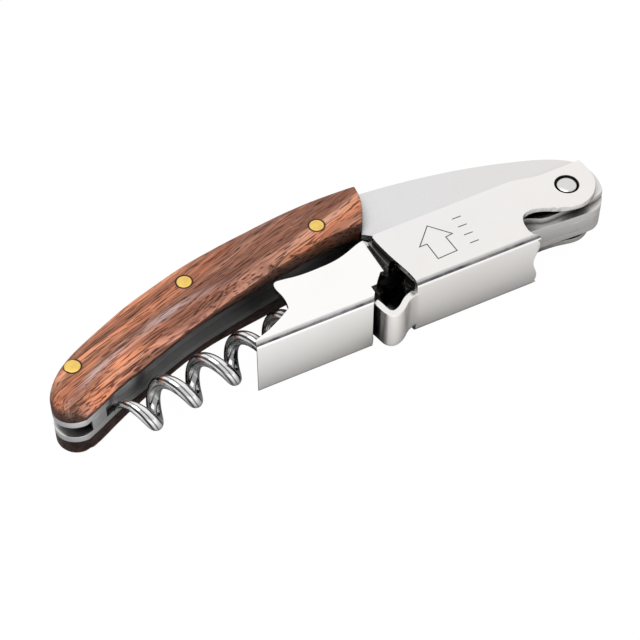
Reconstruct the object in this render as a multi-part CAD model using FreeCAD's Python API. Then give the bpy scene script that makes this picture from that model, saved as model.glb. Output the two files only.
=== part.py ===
import FreeCAD, Part
import math
import os
from FreeCAD import Vector

# Waiter's corkscrew with two hinged levers, folded shut and lying on its flat side.
# Working frame, millimetres: X runs along the tool (tail at -X, lever pivot at +X), Y points
# from the levers to the rounded back of the handle, Z is the thickness. The rest face is z = 0,
# "front" is the +Z side and "rear" the -Z side.
# SHIFT then moves every part so that the origin is mid-length and mid-width on the rest face.

os.makedirs("parts", exist_ok=True)

SHIFT = Vector(-4.955, -6.735, 0.0)

# ---------------------------------------------------------------- driving dimensions
THICKNESS = 13.6            # whole tool
GAP = 2.6                   # slot between the two liners
LINER_T = 1.4
BOLSTER_T = 1.3
LEVER_T = 1.15              # sheet of both levers
BOOT_WEB_T = 1.05           # outer wall of the second lever
PIN_FIT = 0.02              # radial clearance of a fixed pin
RUN_FIT = 0.05              # radial clearance of a running pin
SHEET_FIT = 0.10            # clearance between neighbouring sheets
BLIND = 0.35                # skin left over the hinge rivets and the roller pin

# pin centres (x, y)
LEVER_PIVOT = (54.3, 4.7)
WORM_PIVOT = (28.0, 7.2)
KNIFE_PIVOT = (-45.0, 4.9)
MIDDLE_PIN = (-20.1, 13.8)
HEAD_PIN = (7.1, 15.3)
SCALE_PINS = (KNIFE_PIVOT, MIDDLE_PIN, HEAD_PIN)
BOLSTER_RIVETS = [(39.6, 6.0), (47.4, 6.2)]
BOOT_HINGE = (17.4, 6.0)
ROLLER_AXLE = (18.7, -1.7)

LEVER_PIN_R = 1.85
WORM_PIN_R = 1.5
SCALE_PIN_R = 1.48
BOLSTER_RIVET_R = 1.1
HINGE_RIVET_R = 1.3
ROLLER_PIN_R = 0.8

TANG_R = 3.3                # round end of the knife
EYE_R = 3.0                 # round end of the worm
EYE_T = 2.4

# heights of the layers on the front side; the rear side mirrors them
MID_Z = THICKNESS / 2
GAP_TOP = MID_Z + GAP / 2
GAP_BOTTOM = MID_Z - GAP / 2
LINER_TOP = GAP_TOP + LINER_T
BOLSTER_TOP = LINER_TOP + BOLSTER_T
PLATE_TOP = BOLSTER_TOP + SHEET_FIT + LEVER_T       # first lever at its pivot
LEVER_INSIDE = THICKNESS - LEVER_T
EAR_TOP = LEVER_INSIDE - SHEET_FIT                  # second lever at its hinge
EAR_BOTTOM = EAR_TOP - LEVER_T


# ---------------------------------------------------------------- helpers
def line(start, end):
    return Part.LineSegment(start, end).toShape()


def spline(points):
    curve = Part.BSplineCurve()
    curve.interpolate(points)
    return curve


def prism(outline, z0, z1):
    """Extrude runs of ("curve" or "line", points); straight edges close any gaps."""
    edges = []
    first = last = None
    for kind, points in outline:
        run = [Vector(x, y, z0) for x, y in points]
        if last is None:
            first = run[0]
        elif (last - run[0]).Length > 1e-6:
            edges.append(line(last, run[0]))
        if kind == "curve":
            edges.append(spline(run).toShape())
        else:
            edges += [line(a, b) for a, b in zip(run[:-1], run[1:])]
        last = run[-1]
    if (last - first).Length > 1e-6:
        edges.append(line(last, first))
    return Part.Face(Part.Wire(edges)).extrude(Vector(0, 0, z1 - z0))


def cylinder(centre, radius, z0, z1):
    return Part.makeCylinder(radius, z1 - z0, Vector(centre[0], centre[1], z0))


def cone(centre, r0, r1, z0, z1):
    return Part.makeCone(r0, r1, z1 - z0, Vector(centre[0], centre[1], z0))


def box(x0, y0, z0, length, width, height):
    return Part.makeBox(length, width, height, Vector(x0, y0, z0))


def bored(shape, centres, radius):
    """Drill right through the tool's thickness at each centre."""
    for centre in centres:
        shape = shape.cut(cylinder(centre, radius, -1, THICKNESS + 1))
    return shape


def mirrored(shape):
    return shape.mirror(Vector(0, 0, MID_Z), Vector(0, 0, 1))


def largest_solid(shape):
    if shape.ShapeType == "Solid":
        return shape
    return max(shape.Solids, key=lambda body: body.Volume)


def mirrored_pair(shape):
    shape = largest_solid(shape)
    return Part.makeCompound([shape, largest_solid(mirrored(shape))])


def rounded(shape, pick, radius):
    """Round the edges that pick() chooses."""
    for factor in (1, 0.7, 0.5, 0.3):
        edges = [edge for edge in shape.Edges if pick(edge)]
        # guards against a fillet that will not build: a smaller radius is tried next
        try:
            result = shape.makeFillet(radius * factor, edges)
            if result.isValid() and result.Volume > 0.5 * shape.Volume:
                return result
        except Exception:
            pass
    return shape


def is_level(edge):
    return edge.BoundBox.ZLength < 1e-6


def lies_at_z(edge, z):
    bounds = edge.BoundBox
    return abs(bounds.ZMin - z) < 1e-4 and abs(bounds.ZMax - z) < 1e-4


def pin(centre, radius, top, chamfer):
    """Pin centred in the thickness, both ends chamfered."""
    body = cylinder(centre, radius, THICKNESS - top, top)
    return body.makeChamfer(chamfer, [edge for edge in body.Edges if is_level(edge)])


# ---------------------------------------------------------------- outline of the handle (x, y)
# edge toward the levers, from the tail to the end of the wood
INNER = [
    (-46.4, -3.80), (-44.2, -2.85), (-39.5, -0.55), (-35.0, 1.2), (-30.1, 3.05), (-24.0, 5.3),
    (-17.5, 7.15), (-10.0, 8.8), (-3.0, 10.2), (4.0, 11.4), (10.5, 12.25), (14.2, 12.2)]
# the same edge, from the end of the wood to the head
UNDER = [
    (14.2, 12.2), (15.8, 10.9), (17.6, 9.6), (19.6, 8.0), (22.4, 5.5), (25.6, 3.6), (30.0, 2.2),
    (36.0, 0.5), (41.0, -0.6), (45.4, -1.0), (49.9, -1.25), (53.6, -1.45), (56.4, -1.5)]
# round the head, along the rounded back and round the tail
AROUND = [
    (56.4, -1.5), (58.2, -1.0), (59.6, 0.3), (60.5, 2.1), (61.0, 4.8), (60.8, 7.1), (59.8, 9.4),
    (57.3, 11.7), (50.3, 14.85), (42.8, 17.15), (33.0, 19.3), (24.0, 20.6), (17.0, 21.25),
    (8.4, 21.7), (1.0, 21.42), (-6.8, 20.58), (-12.9, 19.6), (-19.0, 18.33), (-25.4, 16.42),
    (-31.8, 14.23), (-38.4, 11.3), (-43.6, 8.75), (-47.4, 6.15), (-50.2, 2.8), (-51.1, -0.2),
    (-50.4, -2.1), (-48.8, -3.4), (-46.4, -3.80)]
# joint between wood and bolster
WOOD_END = [
    (19.2, 25.0), (17.9, 20.9), (17.7, 19.0), (16.9, 16.2), (15.5, 13.3), (13.6, 10.6),
    (12.0, 9.0)]


def handle_layer(z0, z1):
    return prism([("curve", INNER), ("curve", UNDER), ("curve", AROUND)], z0, z1)


def wood_side(z0, z1, joint_shift):
    """Everything on the tail side of the joint, the joint moved joint_shift toward the head."""
    joint = [(x + joint_shift, y) for x, y in WOOD_END]
    surround = [(joint[-1][0], -15), (-70, -15), (-70, 30), (joint[0][0], 30)]
    return prism([("curve", joint), ("line", surround)], z0, z1)


# ---------------------------------------------------------------- liners
def make_liner():
    liner = handle_layer(GAP_TOP, LINER_TOP)
    liner = bored(liner, SCALE_PINS, SCALE_PIN_R + PIN_FIT)
    liner = bored(liner, [LEVER_PIVOT], LEVER_PIN_R + PIN_FIT)
    liner = bored(liner, [WORM_PIVOT], WORM_PIN_R + PIN_FIT)
    return largest_solid(bored(liner, BOLSTER_RIVETS, BOLSTER_RIVET_R + PIN_FIT))


# ---------------------------------------------------------------- bolsters
WOOD_JOINT_GAP = 0.03
BOLSTER_EDGE_R = 0.25
# near the lever pivot the bolsters stand back from the liners (x, y)
BOLSTER_SETBACK = [
    (37.0, 0.25), (39.6, 1.0), (42.0, 1.55), (43.6, 1.5), (44.9, 0.9), (46.3, 0.2), (50.0, 0.0),
    (54.0, 0.05), (57.2, 0.2), (58.9, 0.6), (60.6, 1.6)]


def make_bolster():
    bolster = handle_layer(LINER_TOP, BOLSTER_TOP).cut(
        wood_side(LINER_TOP - 1, BOLSTER_TOP + 1, WOOD_JOINT_GAP))
    setback = prism([("curve", BOLSTER_SETBACK), ("line", [(60.6, -3.0), (37.0, -3.0)])],
                    0, THICKNESS)
    bolster = largest_solid(bolster.cut(setback))
    bolster = bored(bolster, [LEVER_PIVOT], LEVER_PIN_R + PIN_FIT)
    bolster = bored(bolster, [WORM_PIVOT], WORM_PIN_R + PIN_FIT)
    bolster = largest_solid(bored(bolster, BOLSTER_RIVETS, BOLSTER_RIVET_R + PIN_FIT))

    def long_outer_edge(edge):
        bounds = edge.BoundBox
        return lies_at_z(edge, BOLSTER_TOP) and bounds.DiagonalLength > 12 and bounds.XMax > 20
    return largest_solid(rounded(bolster, long_outer_edge, BOLSTER_EDGE_R))


# ---------------------------------------------------------------- wooden scales
FRONT_EDGE_R = 2.0
REAR_EDGE_R = 1.0
SCALE_INNER = INNER[:-2] + [(10.5, 12.2), (14.2, 12.2), (18.0, 11.3)]
# sloping facet along the inner edge: (width across, depth) at INNER[0], INNER[1], ...
FRONT_FACET = [
    (3.2, 3.2), (3.3, 3.3), (3.5, 3.4), (3.6, 3.45), (3.6, 3.4), (3.35, 3.15), (2.8, 2.6),
    (1.9, 1.8), (1.2, 1.1), (0.8, 0.7)]
REAR_FACET = [
    (1.1, 0.9), (1.2, 1.0), (1.5, 1.3), (2.0, 1.8), (2.7, 2.4), (2.9, 2.6), (2.6, 2.3),
    (1.9, 1.7), (1.2, 1.1), (0.8, 0.7)]
FACET_PAST_TOP = 0.003      # the cutter's slope runs on past both ends, as shares of the facet
FACET_PAST_EDGE = 0.1
FACET_OUTSIDE = 2.0         # reach of the cutter outside the scale


def facet_cutter(facet):
    """Wedge lofted along the inner edge that leaves the sloping facet."""
    wires = []
    for i, (width, depth) in enumerate(facet):
        before, after = INNER[max(0, i - 1)], INNER[i + 1]
        dx, dy = after[0] - before[0], after[1] - before[1]
        length = math.hypot(dx, dy)
        inward = Vector(-dy / length, dx / length, 0)
        base = Vector(INNER[i][0], INNER[i][1], 0)
        top_z = THICKNESS + depth * FACET_PAST_TOP
        past = width * FACET_PAST_EDGE
        upper = base + inward * (width * (1 + FACET_PAST_TOP)) + Vector(0, 0, top_z)
        lower = base - inward * past + Vector(0, 0, THICKNESS - depth * (1 + FACET_PAST_EDGE))
        outer = base - inward * (past + FACET_OUTSIDE) + Vector(0, 0, top_z)
        wires.append(Part.Wire(Part.makePolygon([upper, lower, outer, upper])))
    cutter = Part.makeLoft(wires, True, True)
    if cutter.Volume < 0:
        cutter.reverse()
    return cutter


def make_scale(facet, edge_radius):
    """Scale on the front side."""
    outline = [("curve", SCALE_INNER), ("line", [SCALE_INNER[-1], (30.0, 11.0), AROUND[0]]),
               ("curve", AROUND)]
    scale = prism(outline, LINER_TOP, THICKNESS)
    scale = largest_solid(scale.common(wood_side(LINER_TOP - 1, THICKNESS + 1, 0.0)))

    def long_outer_edge(edge):
        return lies_at_z(edge, THICKNESS) and edge.BoundBox.DiagonalLength > 20
    scale = largest_solid(rounded(scale, long_outer_edge, edge_radius))
    scale = largest_solid(scale.cut(facet_cutter(facet)))
    return largest_solid(bored(scale, SCALE_PINS, SCALE_PIN_R + PIN_FIT))


# ---------------------------------------------------------------- back strip and head spacer
# Both fill the slot between the liners.
STRIP_CLEARANCE = 0.12      # round the knife tang and the worm eye
TAIL_SCALLOP = (-40.3, -2.1)
TAIL_SCALLOP_R = 1.9
# lever side of the strip, from the tail to the worm pivot (x, y)
STRIP_LOWER = [
    (-45.4, -8.0), (-38.0, -5.0), (-30.0, -1.0), (-20.0, 3.0), (-10.0, 6.0), (0.0, 7.0),
    (10.0, 8.0), (14.5, 7.0), (20.4, 5.0), (20.4, 7.75), (26.0, 8.75), (26.9, 10.5),
    (26.9, 11.5)]
# back side of the strip, from the worm pivot to the tail (x, y)
STRIP_UPPER = [
    (26.9, 11.5), (24.0, 12.2), (20.0, 13.6), (16.4, 15.9), (12.4, 17.4), (7.1, 18.1),
    (1.5, 17.2), (-3.0, 14.7), (-7.4, 13.2), (-15.5, 11.6), (-23.4, 9.6), (-30.1, 7.1),
    (-36.5, 4.4), (-41.0, 2.6), (-44.6, 2.6)]
# edge of the spacer that faces the slot (x, y)
SPACER_EDGE = [
    (-5.0, 19.6), (1.0, 18.9), (7.1, 18.7), (13.0, 18.0), (17.0, 16.4), (21.5, 14.0),
    (27.0, 12.9), (31.0, 12.2), (33.4, 10.4), (34.4, 7.5), (34.9, 4.5), (35.4, -3.0)]


def make_back_strip():
    outline = [("line", STRIP_LOWER), ("curve", STRIP_UPPER),
               ("line", [STRIP_UPPER[-1], (-45.4, 0.8)])]
    strip = largest_solid(handle_layer(GAP_BOTTOM, GAP_TOP).common(
        prism(outline, GAP_BOTTOM - 1, GAP_TOP + 1)))
    strip = bored(strip, [KNIFE_PIVOT], TANG_R + STRIP_CLEARANCE)
    strip = bored(strip, [WORM_PIVOT], EYE_R + STRIP_CLEARANCE)
    strip = bored(strip, [HEAD_PIN], SCALE_PIN_R + PIN_FIT)
    return largest_solid(bored(strip, [TAIL_SCALLOP], TAIL_SCALLOP_R))


def make_head_spacer():
    surround = [(36, -10), (70, -10), (70, 30), (-5.0, 30)]
    spacer = largest_solid(handle_layer(GAP_BOTTOM, GAP_TOP).common(
        prism([("curve", SPACER_EDGE), ("line", surround)], 0, THICKNESS)))
    spacer = bored(spacer, [LEVER_PIVOT], LEVER_PIN_R + PIN_FIT)
    return largest_solid(bored(spacer, BOLSTER_RIVETS, BOLSTER_RIVET_R + PIN_FIT))


# ---------------------------------------------------------------- pins of the handle
def make_scale_pin(centre):
    return pin(centre, SCALE_PIN_R, THICKNESS - 0.02, chamfer=0.08)


def make_bolster_rivets():
    return Part.makeCompound([pin(centre, BOLSTER_RIVET_R, BOLSTER_TOP - 0.01, chamfer=0.06)
                              for centre in BOLSTER_RIVETS])


# ---------------------------------------------------------------- foil knife and its washers
KNIFE_T = 1.5
KNIFE_BOTTOM = MID_Z - KNIFE_T / 2
KNIFE_TOP = MID_Z + KNIFE_T / 2
# cutting edge, from the tang to the point (x, y)
KNIFE_EDGE = [
    (-42.6, 2.9), (-39.6, 5.3), (-35.8, 7.9), (-31.0, 10.7), (-25.8, 13.3), (-20.1, 15.5),
    (-15.0, 16.7), (-11.4, 17.8), (-9.2, 19.7)]
# back of the blade, from the point to the tang (x, y)
KNIFE_SPINE = [
    (-9.0, 20.75), (-13.0, 20.3), (-18.4, 19.3), (-24.0, 17.7), (-29.5, 15.85), (-35.4, 13.4),
    (-40.2, 11.0), (-42.6, 9.5), (-44.4, 8.0)]
BEVEL_WIDTH = 2.7           # measured from the wedge's start outside the edge
BEVEL_OUTSIDE = 0.6
BEVEL_OVERLAP = 0.25        # each wedge runs on past both ends of its stretch
EDGE_HALF_T = 0.12
SERRATIONS = 13
SERRATION_R = 0.95
SERRATION_OFFSET = (0.35, -0.72)    # cutter centre from its point on the edge
NICK_LENGTH = 6.5
NICK_WIDTH = 0.9
NICK_DEPTH = 0.32
NICK_CENTRE = (-33.0, 13.3)
NICK_ANGLE = 25.5
WASHER_R = 2.6


def bevel_cutters(side):
    """Wedges that thin the blade toward its edge, one for each stretch; side is +1 or -1."""
    cutters = []
    z_face = MID_Z + side * (KNIFE_T / 2 + 0.01)
    z_edge = MID_Z + side * EDGE_HALF_T
    stretches = KNIFE_EDGE[2:]
    for (x0, y0), (x1, y1) in zip(stretches[:-1], stretches[1:]):
        length = math.hypot(x1 - x0, y1 - y0)
        along = Vector((x1 - x0) / length, (y1 - y0) / length, 0)
        across = Vector(-along.y, along.x, 0)
        start = Vector(x0, y0, 0) - along * BEVEL_OVERLAP - across * BEVEL_OUTSIDE
        inner = start + across * BEVEL_WIDTH
        low = Vector(start.x, start.y, z_edge)
        wedge = Part.Wire(Part.makePolygon([
            low, Vector(start.x, start.y, z_face), Vector(inner.x, inner.y, z_face), low]))
        cutters.append(Part.Face(wedge).extrude(along * (length + 2 * BEVEL_OVERLAP)))
    return cutters


def serration_centres():
    """Centres spread evenly over the stretches of the edge, from 12 % to 94 % of the way."""
    centres = []
    for i in range(SERRATIONS):
        place = (0.12 + 0.82 * i / (SERRATIONS - 1)) * (len(KNIFE_EDGE) - 1)
        j = int(place)
        share = place - j
        x, y = [a * (1 - share) + b * share for a, b in zip(KNIFE_EDGE[j], KNIFE_EDGE[j + 1])]
        centres.append((x + SERRATION_OFFSET[0], y + SERRATION_OFFSET[1]))
    return centres


def make_foil_knife():
    outline = [("curve", KNIFE_EDGE), ("curve", KNIFE_SPINE),
               ("line", [KNIFE_SPINE[-1], (-46.0, 5.0), KNIFE_EDGE[0]])]
    blade = prism(outline, KNIFE_BOTTOM, KNIFE_TOP)
    tang = cylinder(KNIFE_PIVOT, TANG_R, KNIFE_BOTTOM, KNIFE_TOP)
    knife = largest_solid(blade.fuse(tang).removeSplitter())
    for side in (1, -1):
        for cutter in bevel_cutters(side):
            knife = knife.cut(cutter)
    knife = largest_solid(knife)
    knife = largest_solid(bored(knife, serration_centres(), SERRATION_R))
    nick = box(-NICK_LENGTH / 2, -NICK_WIDTH / 2, 0, NICK_LENGTH, NICK_WIDTH, 0.5)
    nick.rotate(Vector(0, 0, 0), Vector(0, 0, 1), NICK_ANGLE)
    nick.translate(Vector(NICK_CENTRE[0], NICK_CENTRE[1], KNIFE_TOP - NICK_DEPTH))
    knife = largest_solid(knife.cut(nick))
    return largest_solid(bored(knife, [KNIFE_PIVOT], SCALE_PIN_R + RUN_FIT))


def make_knife_washers():
    washer = cylinder(KNIFE_PIVOT, WASHER_R, KNIFE_TOP + 0.02, GAP_TOP - 0.02)
    return mirrored_pair(bored(washer, [KNIFE_PIVOT], SCALE_PIN_R + PIN_FIT))


# ---------------------------------------------------------------- worm
WIRE_R = 1.28
POINT_R = 0.16
NECK_R = 1.03               # wire end buried in the flat bar
COIL_R = 2.95               # to the centre line of the wire
PITCH = 8.24
TURNS = 5.9
POINT_TURNS = 0.5           # length of the drawn-out point
RUN_IN_TURNS = 0.75         # length of the run from coil to shank
SECTIONS_PER_TURN = 20
WORM_SLOPE = 0.162          # slope of the helix axis in XY
WORM_SAG = 0.012            # and in Z: the tip lies a little low
WORM_TIP = (-40.24, -4.54)
BAR_LENGTH = 9.0            # flat bar from the shank to the eye's centre
BAR_OVERLAP = 1.0

TILT = math.atan(WORM_SLOPE)
AXIS_XY = Vector(math.cos(TILT), math.sin(TILT), 0)
AXIS = Vector(AXIS_XY.x, AXIS_XY.y, WORM_SAG)
AXIS.normalize()
SIDE = Vector(-math.sin(TILT), math.cos(TILT), 0)
UP = AXIS.cross(SIDE)
TIP_TO_PIVOT = Vector(WORM_PIVOT[0] - WORM_TIP[0], WORM_PIVOT[1] - WORM_TIP[1], 0)
EYE_DISTANCE = TIP_TO_PIVOT.dot(AXIS_XY)
SHANK_OFFSET = TIP_TO_PIVOT.dot(SIDE)       # the shank runs parallel to the axis, beside it
AXIS_START = Vector(WORM_TIP[0], WORM_TIP[1], MID_Z - WORM_SAG * EYE_DISTANCE)
SHANK_START = AXIS_START + SIDE * SHANK_OFFSET
SHANK_END = EYE_DISTANCE - BAR_LENGTH


def coil_point(turn):
    """Centre line of the wire, counted in turns from the tip."""
    radius = COIL_R
    offset = 0.0
    run_in = TURNS - RUN_IN_TURNS
    if turn > run_in:
        phase = math.pi * min(1.0, (turn - run_in) / RUN_IN_TURNS)
        radius = COIL_R * (0.5 + 0.5 * math.cos(phase))
        offset = SHANK_OFFSET * (0.5 - 0.5 * math.cos(phase))
    angle = 2 * math.pi * turn
    return (AXIS_START + AXIS * (turn * PITCH) + SIDE * (radius * math.cos(angle) + offset)
            + UP * (radius * math.sin(angle)))


def coil_heading(turn):
    heading = coil_point(turn + 1e-3) - coil_point(turn - 1e-3)
    heading.normalize()
    return heading


def wire_radius(turn):
    if turn >= POINT_TURNS:
        return WIRE_R
    growth = math.sin(turn / POINT_TURNS * math.pi / 2) ** 0.9
    return POINT_R + (WIRE_R - POINT_R) * growth


def wire_ring(centre, heading, across, radius):
    """Circle square to heading, its start point toward across."""
    x, y, z = across, heading.cross(across), heading
    matrix = FreeCAD.Matrix(x.x, y.x, z.x, centre.x,
                            x.y, y.y, z.y, centre.y,
                            x.z, y.z, z.z, centre.z,
                            0, 0, 0, 1)
    return Part.Wire(Part.makeCircle(radius)).transformGeometry(matrix)


def make_wire():
    stations = []           # (centre, heading, wire radius)
    sections = int(TURNS * SECTIONS_PER_TURN)
    for i in range(sections + 1):
        turn = TURNS * i / sections
        stations.append((coil_point(turn), coil_heading(turn), wire_radius(turn)))
    for distance, radius in ((TURNS * PITCH + 2.0, WIRE_R), (SHANK_END, WIRE_R),
                             (SHANK_END + 0.7, NECK_R)):
        stations.append((SHANK_START + AXIS * distance, AXIS, radius))
    rings = []
    across = Vector(AXIS)   # carried from ring to ring so that the loft does not twist
    for centre, heading, radius in stations:
        across = across - heading * across.dot(heading)
        across.normalize()
        rings.append(wire_ring(centre, heading, across, radius))
    return Part.makeLoft(rings, True, True)


def make_worm():
    wire = make_wire()
    bar = box(0, -WIRE_R, -EYE_T / 2, BAR_LENGTH + BAR_OVERLAP, 2 * WIRE_R, EYE_T)
    bar.rotate(Vector(0, 0, 0), Vector(0, 0, 1), math.degrees(TILT))
    bar_start = SHANK_START + AXIS * (SHANK_END - BAR_OVERLAP)
    bar.translate(Vector(bar_start.x, bar_start.y, MID_Z))
    eye = cylinder(WORM_PIVOT, EYE_R, MID_Z - EYE_T / 2, MID_Z + EYE_T / 2)
    worm = wire.fuse(bar.fuse(eye))
    return largest_solid(bored(worm, [WORM_PIVOT], WORM_PIN_R + RUN_FIT))


# ---------------------------------------------------------------- folded sheet of both levers
CHANNEL_OPEN_Y = 9.5
WALL_ZONE = 3.0             # the channel supplies this much in Y, flat plates the rest
INNER_BEND_R = 0.2


def stepped_sheet(levels):
    """Wide lever sheet that steps along X; levels = [(x, z of the top face)]."""
    profile = levels + [(x, z - LEVER_T) for x, z in reversed(levels)]
    points = [Vector(x, -60, z) for x, z in profile]
    return Part.Face(Part.makePolygon(points + points[:1])).extrude(Vector(0, 120, 0))


def channel_wall(x0, x1, web_y, web_t, bend_r, plan):
    """Web and bends of a U section along X, open toward +Y, trimmed to the plan."""
    def runs_along(y):
        def pick(edge):
            bounds = edge.BoundBox
            return (bounds.XLength > 1 and abs(bounds.YMin - y) < 1e-6
                    and abs(bounds.YMax - y) < 1e-6)
        return pick

    outer = box(x0, web_y, 0, x1 - x0, CHANNEL_OPEN_Y - web_y, THICKNESS)
    outer = rounded(outer, runs_along(web_y), bend_r)
    inside_y = web_y + web_t
    inner = box(x0 - 1, inside_y, LEVER_T,
                x1 - x0 + 2, CHANNEL_OPEN_Y - web_y + 1, THICKNESS - 2 * LEVER_T)
    inner = rounded(inner, runs_along(inside_y), INNER_BEND_R)
    zone = box(x0, web_y, 0, x1 - x0, WALL_ZONE, THICKNESS)
    return outer.cut(inner).common(zone).common(plan)


# ---------------------------------------------------------------- first lever
LEVER_WEB_Y = -5.5
# tail end of the plates (x, y)
LEVER_TAIL = [
    (14.75, 8.0), (15.05, 5.2), (15.5, 2.6), (16.0, 0.3), (16.4, -1.4), (16.7, -3.2),
    (16.8, -4.4), (16.7, -6.0)]
# head end of the plates, round the pivot and back to the web (x, y)
LEVER_HEAD = [
    (59.7, 9.1), (59.95, 7.6), (60.0, 6.3), (59.95, 4.7), (59.4, 2.85), (58.5, 1.5),
    (57.5, 0.5), (56.3, -0.25), (54.7, -0.75), (52.5, -0.6), (49.3, 0.2), (46.0, 0.9),
    (43.9, 0.95), (42.7, 0.66), (41.85, 0.1), (41.35, -0.7), (41.05, -1.7), (40.95, -2.6),
    (40.95, -3.4)]
LEVER_PLAN = [
    ("curve", LEVER_HEAD),
    ("line", [LEVER_HEAD[-1], (41.2, -4.4), (42.4, -5.2), (42.4, -6.0), (30.0, -6.0),
              (16.7, -6.0)]),
    ("curve", list(reversed(LEVER_TAIL))),
    ("line", [LEVER_TAIL[0], (15.05, 8.4), (15.4, 8.52), LEVER_HEAD[0]])]
# the plates come down to the pivot in one long S
S_BEND_X = 43.1
S_BEND_STEP = 0.8
S_BEND_STEPS = 11
# shaped head end of the web (x, z)
WEB_END = [
    (41.7, 12.6), (42.3, 11.4), (42.3, 10.2), (41.85, 8.8), (41.4, 6.8), (41.85, 4.8),
    (42.3, 3.4), (42.3, 2.2), (41.7, 1.0)]
# outer face of the lip: it leaves the web, dips outward and curls back to the handle (x, y)
LIP_OUTER = [
    (18.6, LEVER_WEB_Y), (17.4, LEVER_WEB_Y), (16.6, -5.62), (15.6, -5.95), (14.6, -6.45),
    (13.5, -7.35), (12.4, -8.0), (11.2, -8.3), (10.3, -8.1), (9.55, -7.4), (9.15, -6.3),
    (8.85, -4.9), (8.55, -3.9)]
LIP_WIDTH = 8.6
SINK_DEPTH = 0.5            # countersink round the pivot pin
SINK_R = LEVER_PIN_R + 0.55


def lever_plate():
    levels = [(-12.5, THICKNESS)]
    for i in range(S_BEND_STEPS + 1):
        drop = 0.5 - 0.5 * math.cos(math.pi * i / S_BEND_STEPS)
        levels.append((S_BEND_X + S_BEND_STEP * i, THICKNESS + (PLATE_TOP - THICKNESS) * drop))
    levels.append((107.5, PLATE_TOP))
    plate = prism(LEVER_PLAN, MID_Z, THICKNESS + 0.001).common(stepped_sheet(levels))
    return plate.common(box(0, LEVER_WEB_Y + WALL_ZONE, -1, 80, 14, THICKNESS + 2))


def web_end_cutter():
    points = [Vector(x, -9.0, z) for x, z in WEB_END]
    first, last = points[0], points[-1]
    far_first, far_last = Vector(46.0, -9.0, first.z), Vector(46.0, -9.0, last.z)
    edges = [spline(points).toShape(), line(last, far_last), line(far_last, far_first),
             line(far_first, first)]
    return Part.Face(Part.Wire(edges)).extrude(Vector(0, 6.2, 0))


def offset_points(points, distance, steps=24):
    """Points beside the spline through points, distance to its left."""
    curve = spline([Vector(x, y, 0) for x, y in points])
    start, end = curve.FirstParameter, curve.LastParameter
    result = []
    for i in range(steps + 1):
        parameter = start + (end - start) * i / steps
        point = curve.value(parameter)
        tangent = curve.tangent(parameter)[0]
        result.append((point.x - tangent.y * distance, point.y + tangent.x * distance))
    return result


def make_lip():
    inner = list(reversed(offset_points(LIP_OUTER, -LEVER_T)))
    lip = prism([("curve", LIP_OUTER), ("curve", inner)],
                MID_Z - LIP_WIDTH / 2, MID_Z + LIP_WIDTH / 2)

    def free_end(edge):
        bounds = edge.BoundBox
        return abs(bounds.ZLength - LIP_WIDTH) < 1e-3 and bounds.XMax < 10.0
    return rounded(largest_solid(lip), free_end, 0.4)


def make_first_lever():
    wall = channel_wall(14.0, 43.5, LEVER_WEB_Y, LEVER_T, 1.3, prism(LEVER_PLAN, 0, THICKNESS))
    plate = lever_plate()
    lever = wall.fuse(plate).fuse(mirrored(plate))
    lever = largest_solid(lever.cut(web_end_cutter()))
    lever = lever.fuse(make_lip())
    hole_r = LEVER_PIN_R + RUN_FIT
    plate_bottom = THICKNESS - PLATE_TOP
    lever = bored(lever, [LEVER_PIVOT], hole_r)
    lever = lever.cut(cone(LEVER_PIVOT, hole_r, SINK_R, PLATE_TOP - SINK_DEPTH,
                           PLATE_TOP + 0.001))
    lever = lever.cut(cone(LEVER_PIVOT, SINK_R, hole_r, plate_bottom - 0.001,
                           plate_bottom + SINK_DEPTH))
    for centre, radius in ((BOOT_HINGE, HINGE_RIVET_R), (ROLLER_AXLE, ROLLER_PIN_R)):
        lever = lever.cut(cylinder(centre, radius + PIN_FIT, BLIND - 0.02,
                                   THICKNESS - BLIND + 0.02))
    return largest_solid(lever)


# ---------------------------------------------------------------- second lever (the boot)
BOOT_WEB_Y = -5.25
EAR_R = 2.5
# outline (x, y): tail end, notch, edge toward the handle, and from the ear back to the web
BOOT_TAIL = [
    (-14.9, -6.0), (-14.9, -5.0), (-14.5, -4.1), (-11.7, -3.15), (-8.6, -1.6), (-6.3, -0.2)]
BOOT_NOTCH = [
    (-6.3, -0.2), (-6.0, 1.2), (-6.05, 3.2), (-6.35, 5.2), (-6.1, 6.1), (-5.3, 6.4)]
BOOT_TOP = [
    (-5.3, 6.4), (-4.4, 6.3), (-1.8, 5.9), (2.4, 5.8), (6.2, 6.1), (9.6, 7.1), (11.6, 7.85),
    (12.6, 8.1)]
BOOT_HEAD = [
    (14.6, 1.6), (13.7, -0.1), (12.1, 0.0), (11.0, -1.2), (9.3, -3.3), (8.4, -4.6),
    (8.0, -5.2), (8.0, -6.0)]


def make_second_lever():
    x, y = BOOT_HINGE
    ear = [(x - 0.6, y + EAR_R), (x + 1.3, y + 2.15), (x + EAR_R, y), (x + 1.3, y - 2.15),
           (x - 0.6, y - EAR_R - 0.1)]
    plan = prism([("line", BOOT_TAIL), ("curve", BOOT_NOTCH), ("curve", BOOT_TOP),
                  ("line", [BOOT_TOP[-1], (14.2, 8.3), ear[0]]), ("curve", ear),
                  ("line", [ear[-1]] + BOOT_HEAD)], 0, THICKNESS)
    # toward the ears the plates step in to fit inside the first lever
    sheet = stepped_sheet([(-60, THICKNESS), (12.75, THICKNESS), (14.05, EAR_TOP),
                           (60, EAR_TOP)])
    wall = channel_wall(-15.5, 9.0, BOOT_WEB_Y, BOOT_WEB_T, 1.25, plan)
    plate = plan.common(sheet).common(
        box(-20, BOOT_WEB_Y + WALL_ZONE, -1, 60, 14, THICKNESS + 2))
    plate = plate.common(box(-20, -8, MID_Z, 60, 20, THICKNESS))
    boot = wall.fuse(plate).fuse(mirrored(plate))
    return largest_solid(bored(boot, [BOOT_HINGE], HINGE_RIVET_R + RUN_FIT))


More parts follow.
